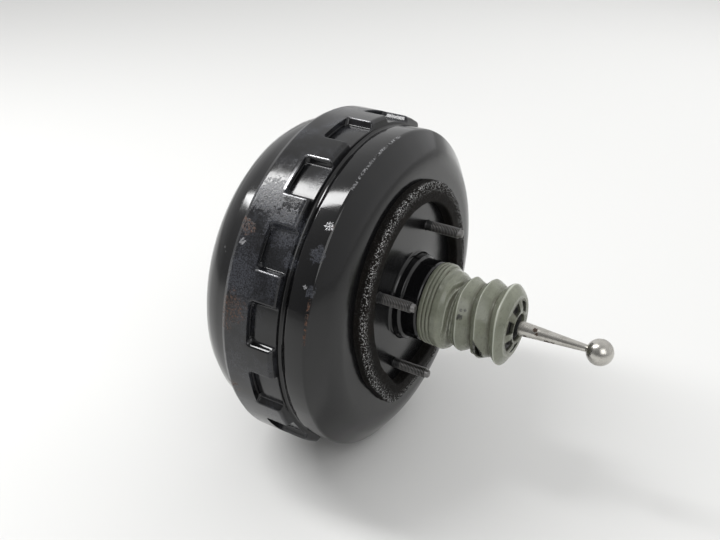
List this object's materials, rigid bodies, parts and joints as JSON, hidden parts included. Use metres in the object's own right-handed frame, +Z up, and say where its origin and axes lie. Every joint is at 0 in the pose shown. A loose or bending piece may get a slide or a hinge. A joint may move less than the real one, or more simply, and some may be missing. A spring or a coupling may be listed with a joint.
{
  "type": "vacuum brake booster",
  "caption": "Single-diaphragm vacuum brake booster with lance-locked shells, bulkhead studs, foam gasket, bellows boot and a push rod with a ball end.",
  "frame": {"origin": "centre of the bulkhead studs on the rear face that bolts to the bulkhead", "axes": "+X along the booster's axis, rearward towards the pedal; +Z up as the booster lies on its band; +Y completes the frame"},
  "size_m": [0.3087, 0.2652, 0.2652],
  "materials": {
    "black_paint": "gloss black, scuffed on the band",
    "plain_steel": "plain pressed steel",
    "stud_steel": "dark phosphated threads",
    "foam": "open-cell foam",
    "seal_rubber": "matt",
    "boot_rubber": "grey-green, slightly see-through",
    "bright_steel": "bright plated",
    "spring_steel": "oiled wire",
    "black_plastic": "moulded",
    "felt": "felt and foam"
  },
  "bodies": {
    "housing": {"rear_shell": "black_paint", "bulkhead_plate": "plain_steel", "bulkhead_studs": "stud_steel", "foam_gasket": "foam", "neck_seal": "seal_rubber", "neck_bearing": "black_plastic", "neck_keeper": "plain_steel", "front_shell": "black_paint", "front_plate": "plain_steel", "front_studs": "stud_steel", "valve_grommet": "seal_rubber", "check_valve": "black_plastic", "check_keeper": "black_plastic", "check_spring": "spring_steel", "diaphragm": "seal_rubber", "return_spring": "spring_steel", "boot": "boot_rubber"},
    "power_piston": {"diaphragm_plate": "plain_steel", "valve_body": "black_plastic", "stop_key": "plain_steel", "poppet": "seal_rubber", "poppet_keeper": "plain_steel", "poppet_spring": "spring_steel", "rod_spring": "spring_steel", "silencer": "felt", "air_filter": "felt", "reaction_disc": "seal_rubber", "output_rod": "plain_steel", "rod_keeper": "plain_steel"},
    "plunger": {"plunger": "plain_steel"},
    "push_rod": {"input_rod": "bright_steel", "rod_washer": "plain_steel"},
    "check_disc": {"check_disc": "seal_rubber"}
  },
  "joints": [
    {"name": "piston_slide", "type": "slide", "parent": "housing", "child": "power_piston", "axis": [-1, 0, 0], "range_m": [0, 0.032], "stiffness_N_per_m": 3500, "springref_m": -0.03, "deforming": ["return_spring", "diaphragm", "boot"]},
    {"name": "plunger_slide", "type": "slide", "parent": "power_piston", "child": "plunger", "axis": [-1, 0, 0], "range_m": [0, 0.0025], "stiffness_N_per_m": 3000, "springref_m": -0.012, "deforming": ["rod_spring", "poppet_spring"]},
    {"name": "rod_pitch", "type": "hinge", "parent": "plunger", "child": "push_rod", "pos_m": [-0.0006, 0, 0], "axis": [0, 0.9397, 0.342], "range_deg": [-2, 2], "stiffness_Nm_per_rad": 30},
    {"name": "check_slide", "type": "slide", "parent": "housing", "child": "check_disc", "axis": [-1, 0, 0], "range_m": [0, 0.0015], "stiffness_N_per_m": 60, "springref_m": -0.002, "deforming": ["check_spring"]}
  ]
}
